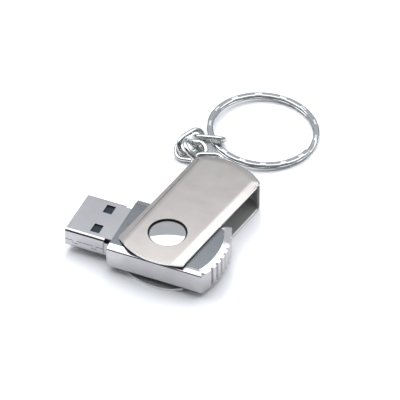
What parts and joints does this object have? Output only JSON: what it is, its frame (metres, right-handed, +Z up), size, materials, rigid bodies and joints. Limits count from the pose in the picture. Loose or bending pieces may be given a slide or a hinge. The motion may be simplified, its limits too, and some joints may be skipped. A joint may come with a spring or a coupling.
{
  "type": "usb flash drive",
  "caption": "Swivel-cover USB-A flash drive: chrome ribbed body, U-shaped steel cover turning on round pivot caps, short wire chain and faceted split key ring.",
  "frame": {"origin": "on the surface it lies on, at the foot of the swivel's axis", "axes": "+Z up along the swivel's axis, -X the way the plug points, +Y roughly the way the cover and the chain lie"},
  "size_m": [0.0362, 0.0657, 0.0077],
  "materials": {
    "body_chrome": "polished plate with a fine orange peel",
    "cap_chrome": "mirror",
    "chain_chrome": "bright plated wire",
    "ring_chrome": "bright plated wire with cut facets",
    "cover_steel": "fine satin",
    "shell_steel": "satin rolled sheet",
    "grey_panel": "satin grey",
    "carrier_plastic": "moulded",
    "tongue_plastic": "moulded",
    "washer_nylon": "nylon",
    "contact_gold": "gold plated",
    "board_laminate": "solder mask",
    "chip_epoxy": "moulded epoxy",
    "capacitor_ceramic": "ceramic"
  },
  "bodies": {
    "drive": {"body_frame": "body_chrome", "top_panel": "grey_panel", "bottom_panel": "grey_panel", "carrier_base": "carrier_plastic", "carrier_lid": "carrier_plastic", "plug_shell": "shell_steel", "plug_tongue": "tongue_plastic", "contact_1": "contact_gold", "contact_2": "contact_gold", "contact_3": "contact_gold", "contact_4": "contact_gold", "board": "board_laminate", "controller_chip": "chip_epoxy", "flash_chip": "chip_epoxy", "crystal": "shell_steel", "capacitor_1": "capacitor_ceramic", "capacitor_2": "capacitor_ceramic", "capacitor_3": "capacitor_ceramic", "capacitor_4": "capacitor_ceramic", "resistor_1": "chip_epoxy", "resistor_2": "chip_epoxy", "pivot_cap_top": "cap_chrome", "pivot_cap_bottom": "cap_chrome", "pivot_washer_top": "washer_nylon", "pivot_washer_bottom": "washer_nylon"},
    "cover": {"swivel_cover": "cover_steel"},
    "jump_ring": {"jump_ring": "chain_chrome"},
    "link_1": {"chain_link_1": "chain_chrome"},
    "link_2": {"chain_link_2": "chain_chrome"},
    "link_3": {"chain_link_3": "chain_chrome"},
    "link_4": {"chain_link_4": "chain_chrome"},
    "link_5": {"chain_link_5": "chain_chrome"},
    "link_6": {"chain_link_6": "chain_chrome"},
    "key_ring": {"split_ring": "ring_chrome"}
  },
  "joints": [
    {"name": "cover_swivel", "type": "hinge", "parent": "drive", "child": "cover", "pos_m": [0, 0, 0.00385], "axis": [0, 0, 1], "continuous": true},
    {"name": "jump_ring_turn", "type": "hinge", "parent": "cover", "child": "jump_ring", "pos_m": [0.00446, 0.02582, 0.00385], "axis": [0, 0, 1], "range_deg": [-20, 8]},
    {"name": "link_1_swing", "type": "hinge", "parent": "jump_ring", "child": "link_1", "pos_m": [0.00308, 0.0273, 0.00442], "axis": [0, 0, -1], "range_deg": [-4, 4]},
    {"name": "link_2_swing", "type": "hinge", "parent": "link_1", "child": "link_2", "pos_m": [0.00003, 0.02859, 0.00112], "axis": [0, 0, -1], "range_deg": [-10, 15]},
    {"name": "link_3_swing", "type": "hinge", "parent": "link_2", "child": "link_3", "pos_m": [-0.0058, 0.02853, 0.00266], "axis": [0, 0, 1], "range_deg": [-10, 3]},
    {"name": "link_4_swing", "type": "hinge", "parent": "link_3", "child": "link_4", "pos_m": [-0.00734, 0.03231, 0.00326], "axis": [0, 0, -1], "range_deg": [-5, 3]},
    {"name": "link_5_swing", "type": "hinge", "parent": "link_4", "child": "link_5", "pos_m": [-0.00978, 0.03005, 0.00096], "axis": [0, 0, 1], "range_deg": [-10, 12]},
    {"name": "link_6_swing", "type": "hinge", "parent": "link_5", "child": "link_6", "pos_m": [-0.009, 0.03498, 0.0036], "axis": [0, 0, -1], "range_deg": [-15, 10]},
    {"name": "key_ring_swing", "type": "hinge", "parent": "link_6", "child": "key_ring", "pos_m": [-0.00624, 0.03791, 0.00122], "axis": [0, 0, 1], "range_deg": [-12, 5]}
  ]
}
